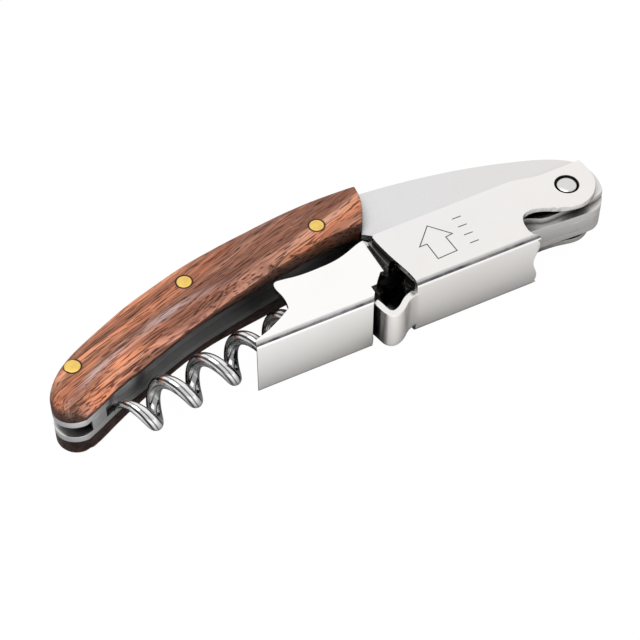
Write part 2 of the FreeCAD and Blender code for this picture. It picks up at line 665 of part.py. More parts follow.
def make_hinge_rivets():
    """One rivet in each side, so that the worm can pass between them."""
    shank = cylinder(BOOT_HINGE, HINGE_RIVET_R, EAR_BOTTOM - 0.3, THICKNESS - BLIND)
    head = cylinder(BOOT_HINGE, 2.1, EAR_BOTTOM - 0.85, EAR_BOTTOM - 0.05)
    return mirrored_pair(shank.fuse(head).removeSplitter())


# ---------------------------------------------------------------- roller inside the first lever
ROLLER_R = 2.25
ROLLER_TOP = MID_Z + 3.2
SLEEVE_R = 1.35


def make_roller():
    roller = cylinder(ROLLER_AXLE, ROLLER_R, THICKNESS - ROLLER_TOP, ROLLER_TOP)
    roller = rounded(roller, is_level, 0.5)
    return largest_solid(bored(roller, [ROLLER_AXLE], ROLLER_PIN_R + RUN_FIT))


def make_roller_spacers():
    sleeve = cylinder(ROLLER_AXLE, SLEEVE_R, ROLLER_TOP + 0.03, LEVER_INSIDE - 0.02)
    return mirrored_pair(bored(sleeve, [ROLLER_AXLE], ROLLER_PIN_R + PIN_FIT))


# ---------------------------------------------------------------- write the parts
front_liner = make_liner()
front_bolster = make_bolster()

parts = {
    "front_liner": front_liner,
    "rear_liner": mirrored(front_liner),
    "front_bolster": front_bolster,
    "rear_bolster": mirrored(front_bolster),
    "front_scale": make_scale(FRONT_FACET, FRONT_EDGE_R),
    "rear_scale": mirrored(make_scale(REAR_FACET, REAR_EDGE_R)),
    "back_strip": make_back_strip(),
    "head_spacer": make_head_spacer(),
    "knife_pivot_pin": make_scale_pin(KNIFE_PIVOT),
    "middle_scale_pin": make_scale_pin(MIDDLE_PIN),
    "head_scale_pin": make_scale_pin(HEAD_PIN),
    "bolster_rivets": make_bolster_rivets(),
    "worm_pivot_pin": pin(WORM_PIVOT, WORM_PIN_R, BOLSTER_TOP - 0.01, chamfer=0.08),
    "lever_pivot_pin": pin(LEVER_PIVOT, LEVER_PIN_R, PLATE_TOP + 0.05, chamfer=0.25),
    "foil_knife": make_foil_knife(),
    "knife_washers": make_knife_washers(),
    "worm": make_worm(),
    "first_lever": make_first_lever(),
    "second_lever": make_second_lever(),
    "lever_hinge_rivets": make_hinge_rivets(),
    "channel_roller": make_roller(),
    "roller_pin": pin(ROLLER_AXLE, ROLLER_PIN_R, THICKNESS - BLIND, chamfer=0.05),
    "roller_spacers": make_roller_spacers(),
}

for name, shape in parts.items():
    shape.translate(SHIFT)
    shape.exportStep("parts/" + name + ".step")
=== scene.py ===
"""Folded waiters corkscrew lying on its rear scale.

Shapes are drawn in working millimetres: lever pivot toward +X, tail toward -X, the back of the
handle toward +Y, the worm and levers toward -Y.  The rest face is z = 0 and the front scale's
face is z = THICK.  to_row() moves a working point into the product's frame, in metres.
"""
import math

import bmesh
import bpy
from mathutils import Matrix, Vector
from mathutils.geometry import delaunay_2d_cdt


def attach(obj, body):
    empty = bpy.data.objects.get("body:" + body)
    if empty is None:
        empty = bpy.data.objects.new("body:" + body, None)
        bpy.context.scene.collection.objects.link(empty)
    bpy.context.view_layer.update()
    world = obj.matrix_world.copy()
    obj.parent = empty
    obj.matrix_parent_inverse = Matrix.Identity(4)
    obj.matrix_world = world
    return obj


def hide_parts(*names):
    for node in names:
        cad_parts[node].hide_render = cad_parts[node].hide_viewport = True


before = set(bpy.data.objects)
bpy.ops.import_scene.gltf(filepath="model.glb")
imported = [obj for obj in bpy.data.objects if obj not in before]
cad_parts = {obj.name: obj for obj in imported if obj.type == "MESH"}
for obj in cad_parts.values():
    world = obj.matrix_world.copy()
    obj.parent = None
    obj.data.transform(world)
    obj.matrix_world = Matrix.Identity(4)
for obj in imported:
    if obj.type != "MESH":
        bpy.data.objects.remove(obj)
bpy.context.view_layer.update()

SHIFT_X, SHIFT_Y = -4.955, -6.735   # working origin in the product frame
THICK = 13.6
MID = THICK / 2

# Centres of the upright parts (x, y)
TAIL_PIN = (-45.0, 4.9)
MIDDLE_PIN = (-20.1, 13.8)
HEAD_PIN = (7.1, 15.3)
LEVER_PIVOT = (54.3, 4.7)
WORM_PIVOT = (28.0, 7.2)
ROLLER = (18.7, -1.7)


def to_row(x, y, z):
    return Vector(((x + SHIFT_X) / 1000.0, (y + SHIFT_Y) / 1000.0, z / 1000.0))


# ------------------------------------------------------------------ node graphs
class Graph:
    """Node tree of a material or world.  Inputs may be sockets or plain values."""

    def __init__(self, owner, output):
        self.owner = owner
        owner.use_nodes = True
        self.tree = owner.node_tree
        self.tree.nodes.clear()
        self.output = self.new(output)

    def new(self, kind, **settings):
        node = self.tree.nodes.new(kind)
        for key, value in settings.items():
            setattr(node, key, value)
        return node

    def feed(self, socket, value):
        if isinstance(value, bpy.types.NodeSocket):
            self.tree.links.new(value, socket)
        elif socket.type == "RGBA":
            socket.default_value = (*value, 1.0)
        else:
            socket.default_value = value

    def coordinates(self, output="Object"):
        return self.new("ShaderNodeTexCoord").outputs[output]

    def attribute(self, name):
        return self.new("ShaderNodeAttribute", attribute_name=name).outputs["Vector"]

    def axes(self, vector):
        node = self.new("ShaderNodeSeparateXYZ")
        self.feed(node.inputs[0], vector)
        return node.outputs

    def mapping(self, vector, scale=(1, 1, 1), turn=0.0, shift=(0, 0, 0)):
        node = self.new("ShaderNodeMapping")
        self.feed(node.inputs["Location"], shift)
        self.feed(node.inputs["Rotation"], (0, 0, turn))
        self.feed(node.inputs["Scale"], scale)
        self.feed(node.inputs["Vector"], vector)
        return node.outputs["Vector"]

    def noise(self, vector, scale, detail, rough, distortion=0.0):
        node = self.new("ShaderNodeTexNoise")
        self.feed(node.inputs["Scale"], scale)
        self.feed(node.inputs["Detail"], detail)
        self.feed(node.inputs["Roughness"], rough)
        self.feed(node.inputs["Distortion"], distortion)
        self.feed(node.inputs["Vector"], vector)
        return node.outputs["Fac"]

    def streaks(self, vector, scale, detail, rough, distortion=0.0, **placing):
        """Noise with its own scale on each axis."""
        mapped = self.mapping(vector, scale, **placing)
        return self.noise(mapped, 1.0, detail, rough, distortion)

    def ramp(self, value, stops):
        """Colour ramp; stops = (position, grey or colour)."""
        node = self.new("ShaderNodeValToRGB")
        elements = node.color_ramp.elements
        while len(elements) < len(stops):
            elements.new(0.5)
        for element, (position, tone) in zip(elements, stops):
            element.position = position
            element.color = (*tone, 1.0) if isinstance(tone, tuple) else (tone, tone, tone, 1.0)
        self.feed(node.inputs["Fac"], value)
        return node.outputs["Color"]

    def rise(self, value, start, end):
        return self.ramp(value, [(start, 0.0), (end, 1.0)])

    def math(self, operation, a, b=0.0, c=None, clamp=False):
        node = self.new("ShaderNodeMath", operation=operation, use_clamp=clamp)
        for socket, value in zip(node.inputs, (a, b, c)):
            if value is not None:
                self.feed(socket, value)
        return node.outputs[0]

    def times(self, a, b, clamp=False):
        return self.math("MULTIPLY", a, b, clamp=clamp)

    def scaled(self, value, gain, offset, clamp=False):
        return self.math("MULTIPLY_ADD", value, gain, offset, clamp)

    def vector(self, operation, a, b=None, output=0):
        node = self.new("ShaderNodeVectorMath", operation=operation)
        self.feed(node.inputs[0], a)
        if b is not None:
            self.feed(node.inputs[1], b)
        return node.outputs[output]

    def mix(self, factor, a, b, mode="MIX"):
        node = self.new("ShaderNodeMix", data_type="RGBA", blend_type=mode)
        for index, value in ((0, factor), (6, a), (7, b)):
            self.feed(node.inputs[index], value)
        return node.outputs[2]

    def multiply(self, a, b):
        return self.mix(1.0, a, b, "MULTIPLY")

    def overlay(self, under, mask, over, amount):
        return self.mix(self.times(mask, amount), under, over)

    def bump(self, height, strength, distance, normal=None):
        node = self.new("ShaderNodeBump")
        self.feed(node.inputs["Strength"], strength)
        self.feed(node.inputs["Distance"], distance)
        self.feed(node.inputs["Height"], height)
        if normal is not None:
            self.feed(node.inputs["Normal"], normal)
        return node.outputs["Normal"]

    def finish(self, inputs):
        """Close the tree with a principled surface and return the material."""
        node = self.new("ShaderNodeBsdfPrincipled")
        for key, value in inputs.items():
            self.feed(node.inputs[key], value)
        self.feed(self.output.inputs["Surface"], node.outputs["BSDF"])
        return self.owner


def material_graph(name):
    return Graph(bpy.data.materials.new(name), "ShaderNodeOutputMaterial")


def painted_crevice_shade(g, reach, shut, clear, dark):
    """Painted shade: a grey factor from occlusion that falls to `dark` deep in gaps narrower than
    `reach` metres.
    """
    occlusion = g.new("ShaderNodeAmbientOcclusion", samples=8)
    g.feed(occlusion.inputs["Distance"], reach)
    return g.ramp(occlusion.outputs["AO"], [(shut, dark), (clear, 1.0)])


def ring_mask(g, place, centre, inner, outer):
    """0 inside radius `inner` (mm) about the upright line through centre, 1 beyond `outer`."""
    offset = g.vector("SUBTRACT", place, to_row(*centre, 0.0))
    flat_mm = g.vector("MULTIPLY", offset, (1000.0, 1000.0, 0.0))
    radius = g.vector("LENGTH", flat_mm, output="Value")
    return g.math("DIVIDE", g.math("SUBTRACT", radius, inner), outer - inner, clamp=True)


def along_x(g, place, stops):
    """Grey factor given at working x positions (mm) from -60 to 60."""
    half, span = 60.0, 120.0
    factor = g.scaled(g.axes(place)["X"], 1000.0 / span, (half - SHIFT_X) / span, clamp=True)
    return g.ramp(factor, [((x + half) / span, grey) for x, grey in stops])


# ------------------------------------------------------------------ materials
def steel(name, base, rough, brush, cloud=0.06, turn=0.0, smudge=0.5, deep=0.05, reach=0.0035,
          gap=(0.30, 0.80), hole=None, shade_x=None, shade_all=False, wire=(), sheet=False):
    """Brushed stainless: hair lines, soft clouds and faint smudges.

    brush, cloud and smudge are strengths and turn is the hair lines' angle about z.  deep, reach
    and gap drive the painted shade in gaps and crevices.  hole = (centre, inner, outer) is a
    black disc of painted shade.  shade_x paints shade along x, on faces toward -Y only unless
    shade_all.
    wire = (angle, half-width, grey) of painted dark reflections in bands round the worm's wire,
    in degrees.  sheet paints a dark reflection on the bends and shade on the sheared ends.
    """
    g = material_graph(name)
    place = g.coordinates()
    along, across = 60.0, 9000.0            # noise scale along and across the hair lines
    upright = along if sheet else across
    lines = g.streaks(place, (along, across, upright), detail=3.0, rough=0.6, turn=turn)
    fine = g.streaks(place, (along * 3.5, across * 2.6, upright * 2.6), detail=2.0, rough=0.5,
                     turn=turn)
    clouds = g.noise(place, scale=95.0, detail=4.0, rough=0.6, distortion=0.4)
    spots = g.noise(place, scale=420.0, detail=5.0, rough=0.65)
    hair = g.math("ADD", g.times(lines, 0.65), g.times(fine, 0.35))
    tone = g.scaled(clouds, gain=cloud * 2, offset=1.0 - cloud)
    tone = g.times(tone, g.scaled(hair, gain=0.10 * brush, offset=1.0 - 0.05 * brush))

    # Large soft patches drift between a cool and a warm tint
    red, green, blue = base
    warm = g.noise(place, scale=28.0, detail=2.0, rough=0.5)
    colour = g.mix(g.rise(warm, 0.35, 0.65), (red * 0.985, green * 0.99, blue),
                   (red, green * 0.985, blue * 0.965))
    colour = g.multiply(colour, g.rise(tone, 0.0, 1.0))
    # Painted shade in gaps and crevices, from occlusion
    colour = g.multiply(colour, painted_crevice_shade(g, reach, *gap, deep))
    # Painted shade along x
    if shade_x:
        facing = 1.0
        if not shade_all:
            facing = g.scaled(g.axes(g.coordinates("Normal"))["Y"], -4.0, 0.6, clamp=True)
        colour = g.mix(facing, colour, g.multiply(colour, along_x(g, place, shade_x)))
    # Painted dark reflections in bands round the worm's wire
    if wire:
        around = g.attribute("wire")
        for angle, half_width, grey in wire:
            middle = math.radians(angle)
            toward = g.vector("DOT_PRODUCT", around, (math.cos(middle), math.sin(middle), 0.0),
                              output="Value")
            edge = math.cos(math.radians(half_width))
            full = math.cos(math.radians(half_width * 0.55))
            band = g.math("DIVIDE", g.math("SUBTRACT", toward, edge), full - edge, clamp=True)
            band = g.times(band, g.scaled(clouds, gain=0.8, offset=0.55, clamp=True))
            colour = g.mix(band, colour, (grey, grey, grey))
    if sheet:
        # Painted dark reflection on the bends that face -Y, strongest where the normal leans
        # partly upright, mottled by noise
        normal = g.axes(g.coordinates("Normal"))
        upness = g.math("ABSOLUTE", normal["Z"])
        facing = g.scaled(normal["Y"], -8.0, -1.0, clamp=True)
        bend = g.ramp(upness, [(0.0, 0.0), (0.40, 0.0), (0.48, 0.95), (0.70, 0.85), (0.80, 0.38),
                               (0.93, 0.22), (0.99, 0.0)])
        reflection_mottle = g.streaks(place, (500, 900, 900), detail=3.0, rough=0.6)
        bend = g.times(g.times(bend, facing), g.scaled(reflection_mottle, 1.0, 0.45), clamp=True)
        colour = g.mix(bend, colour, (0.085, 0.088, 0.105))
        # Painted shade on the sheared ends, facing -X
        end = g.scaled(normal["X"], -4.0, -2.9, clamp=True)
        colour = g.overlay(colour, end, (0.07, 0.07, 0.075), amount=0.80)
    # Painted shade: a black disc round the hole
    if hole:
        colour = g.mix(ring_mask(g, place, *hole), (0.006, 0.006, 0.006), colour)

    roughness = g.scaled(hair, gain=0.16 * brush, offset=rough - 0.08 * brush)
    roughness = g.scaled(spots, gain=0.10 * smudge, offset=roughness)
    roughness = g.scaled(clouds, gain=0.06 * smudge, offset=roughness, clamp=True)
    normal = g.bump(hair, strength=0.22 * brush, distance=0.00002)
    normal = g.bump(clouds, strength=0.05, distance=0.0002, normal=normal)
    return g.finish({"Base Color": colour, "Metallic": 1.0, "Roughness": roughness,
                     "Normal": normal})


def wood(name, shift, level=1.0, side=1.0):
    """Rosewood.  shift moves the figure, level dims it all as painted shade and side sets the
    painted shade on the upright walls.
    """
    g = material_graph(name)
    place = g.coordinates()
    straight = g.mapping(place, turn=math.radians(-19), shift=shift)
    wander = g.new("ShaderNodeCombineXYZ")
    g.feed(wander.inputs["Y"], g.streaks(straight, (16, 70, 70), detail=3.0, rough=0.5))
    grain = g.vector("ADD", straight, g.vector("MULTIPLY", wander.outputs[0], (0, 0.007, 0)))

    # Noises stretched along the grain, broad to fine
    ground = g.streaks(grain, (24, 340, 210), detail=5.0, rough=0.62, distortion=0.3)
    figure = g.streaks(grain, (13, 170, 100), detail=3.0, rough=0.55, distortion=0.9)
    lines = g.streaks(grain, (30, 980, 600), detail=3.0, rough=0.5, distortion=0.25)
    thin_lines = g.streaks(grain, (60, 2300, 1300), detail=2.0, rough=0.5, distortion=0.1,
                           shift=(0.3, 0.1, 0.2))
    pores = g.streaks(grain, (330, 4600, 3800), detail=1.0, rough=0.4)
    fibre = g.streaks(grain, (150, 4200, 2600), detail=2.0, rough=0.5)
    ash = g.streaks(grain, (15, 210, 120), detail=3.0, rough=0.55, distortion=0.6,
                    shift=(0.11, 0.07, 0.0))

    # Warm ground, ashy patches, dark figure, dark lines, pale fibre, open pores
    colour = g.ramp(ground, [(0.28, (0.30, 0.080, 0.034)), (0.43, (0.54, 0.175, 0.080)),
                             (0.55, (0.70, 0.265, 0.130)), (0.70, (0.86, 0.40, 0.235))])
    colour = g.overlay(colour, g.rise(ash, 0.54, 0.64), (0.44, 0.30, 0.27), amount=0.50)
    dark = g.ramp(figure, [(0.48, 0.0), (0.57, 0.70), (0.68, 1.0)])
    colour = g.overlay(colour, dark, (0.075, 0.019, 0.012), amount=0.86)
    line = g.rise(lines, 0.565, 0.615)
    colour = g.overlay(colour, line, (0.050, 0.013, 0.009), amount=0.80)
    colour = g.overlay(colour, g.rise(thin_lines, 0.57, 0.63), (0.070, 0.019, 0.012), amount=0.62)
    colour = g.overlay(colour, g.rise(fibre, 0.35, 0.75), (0.92, 0.47, 0.30), amount=0.26)
    pore = g.rise(pores, 0.57, 0.63)
    colour = g.overlay(colour, pore, (0.028, 0.008, 0.006), amount=0.80)

    # Painted shade: the upright walls and the rounded edge are darker than the flat
    normal = g.axes(g.new("ShaderNodeNewGeometry").outputs["Normal"])
    upness = g.math("ABSOLUTE", normal["Z"])
    colour = g.multiply(colour, g.ramp(upness, [(0.0, 0.10 * side), (0.30, 0.30 * side),
                                                (0.58, 0.82), (0.80, 0.95), (0.93, 1.0)]))

    # Painted light: the facet is lighter (attribute x), with a painted pale highlight along its
    # ridge (attribute y)
    facet = g.axes(g.attribute("facet"))
    colour = g.mix(facet["X"], colour, g.multiply(colour, (1.55, 1.45, 1.40)))
    ridge_highlight = g.streaks(grain, (60, 700, 500), detail=3.0, rough=0.55, shift=(0.2, 0.0, 0.1))
    ridge_highlight = g.times(facet["Y"], g.ramp(ridge_highlight, [(0.38, 0.05), (0.58, 0.72)]))
    ridge_highlight = g.times(ridge_highlight, g.math("SUBTRACT", 1.0, g.times(pore, 0.7)))
    colour = g.mix(ridge_highlight, colour, (0.60, 0.47, 0.45))
    # Painted shade in gaps and crevices, from occlusion
    colour = g.multiply(colour, painted_crevice_shade(g, reach=0.002, shut=0.30, clear=0.75, dark=0.15))
    for centre in (TAIL_PIN, MIDDLE_PIN, HEAD_PIN):
        around_pin = ring_mask(g, place, centre, inner=1.58, outer=1.74)
        colour = g.mix(around_pin, (0.035, 0.014, 0.009), colour)
    # Painted shade dimming the whole scale
    if level != 1.0:
        colour = g.multiply(colour, (level, level, level))

    rough = g.scaled(pore, gain=0.25, offset=0.36)
    rough = g.scaled(fibre, gain=0.14, offset=rough)
    height = g.math("SUBTRACT", g.times(fibre, 0.35), g.math("ADD", pore, g.times(line, 0.8)))
    return g.finish({"Base Color": colour, "Roughness": rough,
                     "Normal": g.bump(height, strength=0.5, distance=0.0001),
                     "Specular IOR Level": 0.20, "Coat Weight": 0.03, "Coat Roughness": 0.2})


def brass(name):
    g = material_graph(name)
    place = g.coordinates()
    scratches = g.streaks(place, (250, 9000, 500), detail=3.0, rough=0.6, turn=0.9)
    blots = g.noise(place, scale=900.0, detail=4.0, rough=0.6)
    colour = g.mix(g.rise(blots, 0.35, 0.7), (0.86, 0.60, 0.16), (0.76, 0.50, 0.13))
    rough = g.scaled(scratches, gain=0.2, offset=0.26)
    normal = g.bump(g.math("ADD", scratches, blots), strength=0.25, distance=0.00002)
    return g.finish({"Base Color": colour, "Metallic": 1.0, "Roughness": rough,
                     "Normal": normal})


def gloss_black(name):
    g = material_graph(name)
    wear = g.noise(g.coordinates(), scale=1800.0, detail=4.0, rough=0.6)
    return g.finish({"Base Color": (0.008, 0.008, 0.009),
                     "Roughness": g.scaled(wear, gain=0.14, offset=0.08),
                     "Specular IOR Level": 0.6,
                     "Normal": g.bump(wear, strength=0.05, distance=0.00003)})


def etched(name):
    g = material_graph(name)
    mottle = g.noise(g.coordinates(), scale=5000.0, detail=3.0, rough=0.6)
    return g.finish({"Base Color": g.mix(mottle, (0.05, 0.05, 0.055), (0.10, 0.10, 0.105)),
                     "Roughness": g.scaled(mottle, gain=0.2, offset=0.5), "Metallic": 0.3,
                     "Normal": g.bump(mottle, strength=0.3, distance=0.00001)})


SHEET = dict(rough=0.13, brush=0.7, turn=math.radians(90), deep=0.015, reach=0.011,
             gap=(0.20, 0.55), sheet=True)

# Painted shade: the lever's pivot hole is black round the pin
LEVER_STEEL = steel("lever_steel_brushed", (0.84, 0.825, 0.81), cloud=0.045,
                    hole=(LEVER_PIVOT, 2.30, 2.42), **SHEET)
# Painted shade on the boot from x = 12.6 on, where it runs under the first lever
BOOT_STEEL = steel("boot_steel_brushed", (0.95, 0.94, 0.92), cloud=0.04, shade_all=True,
                   shade_x=[(-60, 1.0), (12.6, 1.0), (12.9, 0.80), (13.9, 0.70), (14.15, 0.10),
                            (60, 0.05)], **SHEET)
BOLSTER_STEEL = steel("bolster_steel_brushed", (0.73, 0.72, 0.715), rough=0.24, brush=0.30,
                      cloud=0.08, turn=math.radians(60))
# Painted shade and dark reflection along the inner side of the liners and back strip, darkest
# under the worm and levers
LINER_STEEL = steel("liner_steel_satin", (0.70, 0.69, 0.685), rough=0.30, brush=0.8, cloud=0.07,
                    deep=0.02, shade_x=[(-60, 1.0), (-39, 0.95), (-30, 0.60), (-12, 0.36),
                                        (0, 0.22), (9, 0.08), (31, 0.06), (36, 1.0)])
SPRING_STEEL = steel("spring_steel_ground", (0.66, 0.65, 0.645), rough=0.30, brush=1.0,
                     cloud=0.08, deep=0.01,
                     shade_x=[(-60, 1.0), (-39, 0.85), (-30, 0.50), (-12, 0.30), (0, 0.18),
                              (9, 0.06), (31, 0.05), (36, 1.0)])
PIN_STEEL = steel("pin_steel_turned", (0.68, 0.675, 0.67), rough=0.30, brush=0.7, cloud=0.12,
                  turn=0.7, deep=0.3)
BLADE_STEEL = steel("blade_steel_satin", (0.70, 0.705, 0.715), rough=0.26, brush=1.0,
                    turn=math.radians(70))
# Painted dark reflections in bands round the worm's wire
WORM_STEEL = steel("worm_steel_polished", (0.82, 0.815, 0.81), rough=0.06, brush=0.25,
                   smudge=0.3, cloud=0.04, deep=0.06, reach=0.006, gap=(0.45, 0.95),
                   wire=[(38, 14, 0.03), (2, 9, 0.07), (-52, 13, 0.05)])
# Near-black steel for the hinge rivets, roller pin and roller spacers: painted shade inside the
# lever channel
SHADOWED_PIN_STEEL = steel("pin_steel_painted_shade", (0.06, 0.06, 0.06), rough=0.35, brush=0.6, cloud=0.08)
FRONT_WOOD = wood("rosewood_front", shift=(0.013, 0.004, 0.002))
# The rear scale is dimmed overall and on its walls as painted shade
REAR_WOOD = wood("rosewood_rear", shift=(0.061, 0.027, 0.019), level=0.80, side=0.60)
BRASS = brass("brass_flush_ground")
BLACK = gloss_black("black_gloss_plastic")
MARK = etched("etched_mark")


# ------------------------------------------------------------------ mesh helpers
def add_object(name, data):
    ob = bpy.data.objects.new(name, data)
    bpy.context.scene.collection.objects.link(ob)
    return ob


def make(name, verts, faces, mat, body, stands_for=None, sharp=None):
    """Mesh object riding on body; smooth up to `sharp` degrees, or flat without it."""
    mesh = bpy.data.meshes.new(name)
    mesh.from_pydata([tuple(v) for v in verts], [], faces)
    bm = bmesh.new()
    bm.from_mesh(mesh)
    bmesh.ops.recalc_face_normals(bm, faces=bm.faces)
    bm.to_mesh(mesh)
    bm.free()
    mesh.materials.append(mat)
    if sharp:
        mesh.shade_smooth()
        mesh.set_sharp_from_angle(angle=math.radians(sharp))
    ob = add_object(name, mesh)
    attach(ob, body)
    if stands_for:
        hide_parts(stands_for)
    return ob


def set_vectors(ob, name, vectors):
    layer = ob.data.attributes.new(name, "FLOAT_VECTOR", "POINT")
    for item, vector in zip(layer.data, vectors):
        item.vector = vector


def bridge(a, b):
    """Quads between two rings of as many vertices."""
    count = len(a)
    return [(a[k], a[(k + 1) % count], b[(k + 1) % count], b[k]) for k in range(count)]


def lathe(name, centre, profile, mat, body, stands_for):
    """Solid of revolution about an upright line; profile = [(radius, z)]."""
    sides = 56
    verts, faces, rings = [], [], []
    for radius, z in profile:
        count = sides if radius > 1e-9 else 1
        rings.append(list(range(len(verts), len(verts) + count)))
        for k in range(count):
            a = 2 * math.pi * k / sides
            verts.append(to_row(centre[0] + radius * math.cos(a),
                                centre[1] + radius * math.sin(a), z))
    for a, b in zip(rings, rings[1:]):
        if len(a) == 1:
            faces += [(a[0], b[(k + 1) % sides], b[k]) for k in range(sides)]
        elif len(b) == 1:
            faces += [(a[k], a[(k + 1) % sides], b[0]) for k in range(sides)]
        else:
            faces += bridge(a, b)
    return make(name, verts, faces, mat, body, stands_for, sharp=40.0)


def symmetric(lower, middle=()):
    """Profile mirrored about mid thickness."""
    return lower + list(middle) + [(radius, THICK - z) for radius, z in reversed(lower)]


def cubic_terms(knots, values):
    """Natural cubic through the values: its constant, linear, square and cubic terms."""
    count = len(values)
    gap = [b - a for a, b in zip(knots, knots[1:])]
    ratio, partial = [0.0], [0.0]
    for i in range(1, count - 1):
        bend = (3 * (values[i + 1] - values[i]) / gap[i]
                - 3 * (values[i] - values[i - 1]) / gap[i - 1])
        pivot = 2 * (knots[i + 1] - knots[i - 1]) - gap[i - 1] * ratio[i - 1]
        ratio.append(gap[i] / pivot)
        partial.append((bend - gap[i - 1] * partial[i - 1]) / pivot)
    linear, square, cubic = [0.0] * count, [0.0] * count, [0.0] * count
    for j in reversed(range(count - 1)):
        square[j] = partial[j] - ratio[j] * square[j + 1]
        linear[j] = ((values[j + 1] - values[j]) / gap[j]
                     - gap[j] * (square[j + 1] + 2 * square[j]) / 3)
        cubic[j] = (square[j + 1] - square[j]) / (3 * gap[j])
    return values, linear, square, cubic


def spline(points, step):
    """Natural cubic through points by chord length, resampled at about step."""
    knots = [0.0]
    for a, b in zip(points, points[1:]):
        knots.append(knots[-1] + math.hypot(b[0] - a[0], b[1] - a[1]))
    terms = [cubic_terms(knots, [p[axis] for p in points]) for axis in (0, 1)]
    count = max(2, int(round(knots[-1] / step)))
    out = []
    j = 0
    for k in range(count + 1):
        s = knots[-1] * k / count
        while j < len(points) - 2 and s > knots[j + 1]:
            j += 1
        u = s - knots[j]
        out.append(tuple(value[j] + linear[j] * u + square[j] * u * u + cubic[j] * u ** 3
                         for value, linear, square, cubic in terms))
    return out


def interpolate(x, table, column=1):
    """Column of a table at x, held level beyond its ends; column 0 is x."""
    if x <= table[0][0]:
        return table[0][column]
    for a, b in zip(table, table[1:]):
        if x <= b[0]:
            return a[column] + (b[column] - a[column]) * (x - a[0]) / (b[0] - a[0])
    return table[-1][column]


def line_distance(x, y, points):
    best = 1e9
    for (ax, ay), (bx, by) in zip(points, points[1:]):
        dx, dy = bx - ax, by - ay
        u = ((x - ax) * dx + (y - ay) * dy) / (dx * dx + dy * dy + 1e-12)
        u = min(1, max(0, u))
        off_x, off_y = ax + dx * u - x, ay + dy * u - y
        best = min(best, off_x * off_x + off_y * off_y)
    return math.sqrt(best)


def inside(x, y, polygon):
    within = False
    for (xi, yi), (xj, yj) in zip(polygon, polygon[-1:] + polygon[:-1]):
        if (yi > y) != (yj > y) and x < (xj - xi) * (y - yi) / (yj - yi) + xi:
            within = not within
    return within


def inset(polygon, distance):
    """Anticlockwise polygon moved inward, its corners mitred up to a limit."""
    count = len(polygon)
    out = []
    for i, p in enumerate(polygon):
        normals = []
        for a, b in ((polygon[i - 1], p), (p, polygon[(i + 1) % count])):
            dx, dy = b[0] - a[0], b[1] - a[1]
            length = math.hypot(dx, dy)
            normals.append((-dy / length, dx / length))
        (ax, ay), (bx, by) = normals
        length = math.hypot(ax + bx, ay + by)
        mx, my = (ax + bx) / length, (ay + by) / length
        mitre = max(0.45, mx * ax + my * ay)
        out.append((p[0] + mx * distance / mitre, p[1] + my * distance / mitre))
    return out


# ------------------------------------------------------------------ wooden scales
# Outline points (x, y): the -Y side from tail to head, then from the head round the +X end,
# the +Y back and the tail; and the line across the handle where the wood stops.
INNER = [(-46.4, -3.80), (-44.2, -2.85), (-39.5, -0.55), (-35.0, 1.2), (-30.1, 3.05),
         (-24.0, 5.3), (-17.5, 7.15), (-10.0, 8.8), (-3.0, 10.2), (4.0, 11.4), (10.5, 12.25),
         (14.2, 12.2)]
AROUND = [(56.4, -1.5), (58.2, -1.0), (59.6, 0.3), (60.5, 2.1), (61.0, 4.8), (60.8, 7.1),
          (59.8, 9.4), (57.3, 11.7), (50.3, 14.85), (42.8, 17.15), (33.0, 19.3), (24.0, 20.6),
          (17.0, 21.25), (8.4, 21.7), (1.0, 21.42), (-6.8, 20.58), (-12.9, 19.6),
          (-19.0, 18.33), (-25.4, 16.42), (-31.8, 14.23), (-38.4, 11.3), (-43.6, 8.75),
          (-47.4, 6.15), (-50.2, 2.8), (-51.1, -0.2), (-50.4, -2.1), (-48.8, -3.4),
          (-46.4, -3.80)]
WOOD_END = [(19.2, 25.0), (17.9, 20.9), (17.7, 19.0), (16.9, 16.2), (15.5, 13.3), (13.6, 10.6),
            (12.0, 9.0)]

# Facet cut along the -Y side: x, width, depth
FRONT_FACET = [(-50.0, 2.6, 2.6), (-44.0, 3.3, 3.3), (-38.0, 3.6, 3.45), (-28.0, 3.6, 3.4),
               (-21.0, 3.2, 3.0), (-14.0, 2.4, 2.3), (-7.0, 1.5, 1.4), (0.0, 0.8, 0.75),
               (8.0, 0.4, 0.35), (16.0, 0.25, 0.22)]
REAR_FACET = [(-50.0, 1.4, 1.2), (-44.0, 1.35, 1.15), (-39.5, 1.5, 1.3), (-35.0, 2.0, 1.8),
              (-30.0, 2.7, 2.4), (-24.0, 2.9, 2.6), (-17.5, 2.6, 2.3), (-10.0, 1.8, 1.6),
              (-3.0, 1.1, 1.0), (4.0, 0.6, 0.5), (16.0, 0.25, 0.22)]
FACET_EASE = 0.15                           # softness of the facet's ridge
BACK_ROUND = [(-5.0, 2.25), (17.0, 0.5)]    # x, rounding radius of the back
REAR_ROUND_MAX = 1.6
END_ROUND = 0.35
MAX_DROP = 3.6
SCALE_FLOOR = 9.5                           # z of the front scale's underside
# Painted light on the facet: x, strength of the lit face and of the painted highlight on its
# ridge
FACET_LIGHT = [(-48, 0.0), (-44, 1.0), (-14, 1.0), (-4, 0.0)]
RIDGE_HIGHLIGHT = [(-47, 0.3), (-43, 1.0), (-24, 1.0), (-14, 0.2), (-8, 0.0)]

INSETS = [0.0, 0.04, 0.12, 0.25, 0.42, 0.65, 0.95, 1.30, 1.75, 2.20, 2.60, 2.95, 3.30, 3.70]
GRID = 1.0                                  # spacing of the points inside the last inset

INNER_FINE = spline(INNER, 0.4)
AROUND_FINE = spline(AROUND, 0.4)
WOOD_END_FINE = spline(WOOD_END, 0.2)
END_LINE = [p for p in WOOD_END_FINE if 10.0 < p[1] < 22.5]


